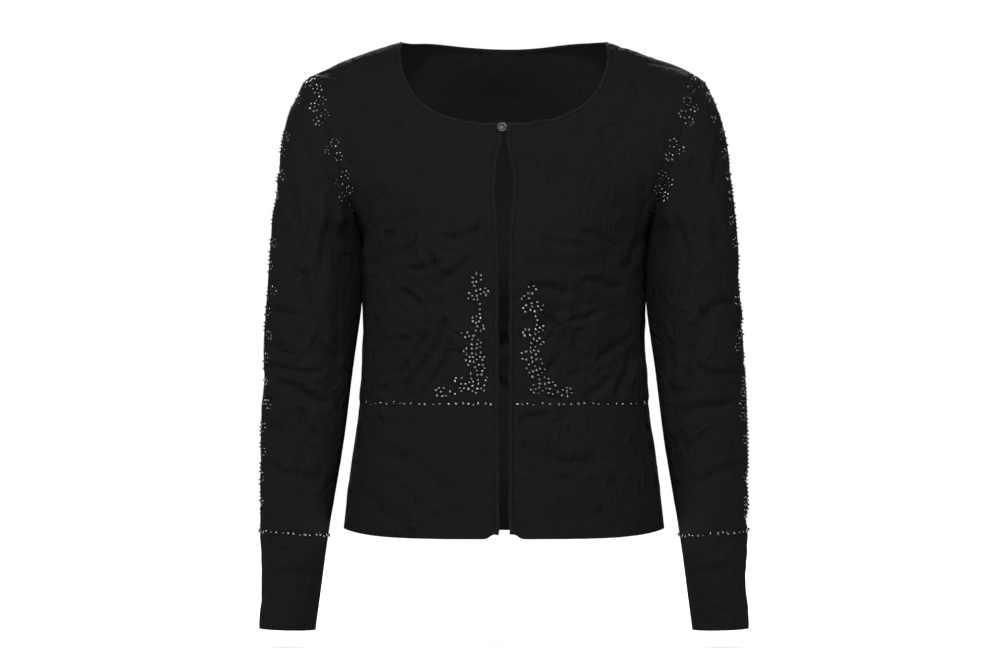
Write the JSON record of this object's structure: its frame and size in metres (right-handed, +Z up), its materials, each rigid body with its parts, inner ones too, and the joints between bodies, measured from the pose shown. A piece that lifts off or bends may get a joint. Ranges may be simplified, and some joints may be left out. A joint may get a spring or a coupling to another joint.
{
  "type": "cardigan",
  "caption": "Cropped round-neck cardigan in fine black jersey, long sleeves, bead-trimmed vines, waist and cuff seams, open front closed by one button at the neck.",
  "frame": {"origin": "midway between the shoulders, at the height of the neck ends of the shoulder line, where the wearer's shoulders hold the cardigan up", "axes": "+X toward the wearer's left, the right of the picture. +Y from the front toward the back. +Z up, from the hem to the shoulders."},
  "size_m": [0.5204, 0.2456, 0.6268],
  "materials": {
    "jersey": "matte fine black jersey",
    "trim": "matte folded jersey edge",
    "jet": "polished black with a bright rim"
  },
  "bodies": {
    "root": {"front_left": "jersey", "front_right": "jersey", "front_band_left": "jersey", "front_band_right": "jersey", "back": "jersey", "back_band": "jersey", "sleeve_left": "jersey", "sleeve_right": "jersey", "cuff_left": "jersey", "cuff_right": "jersey", "edge_band_left": "trim", "edge_band_right": "trim", "neck_binding": "trim", "button": "jet", "button_loop": "trim"}
  },
  "joints": []
}
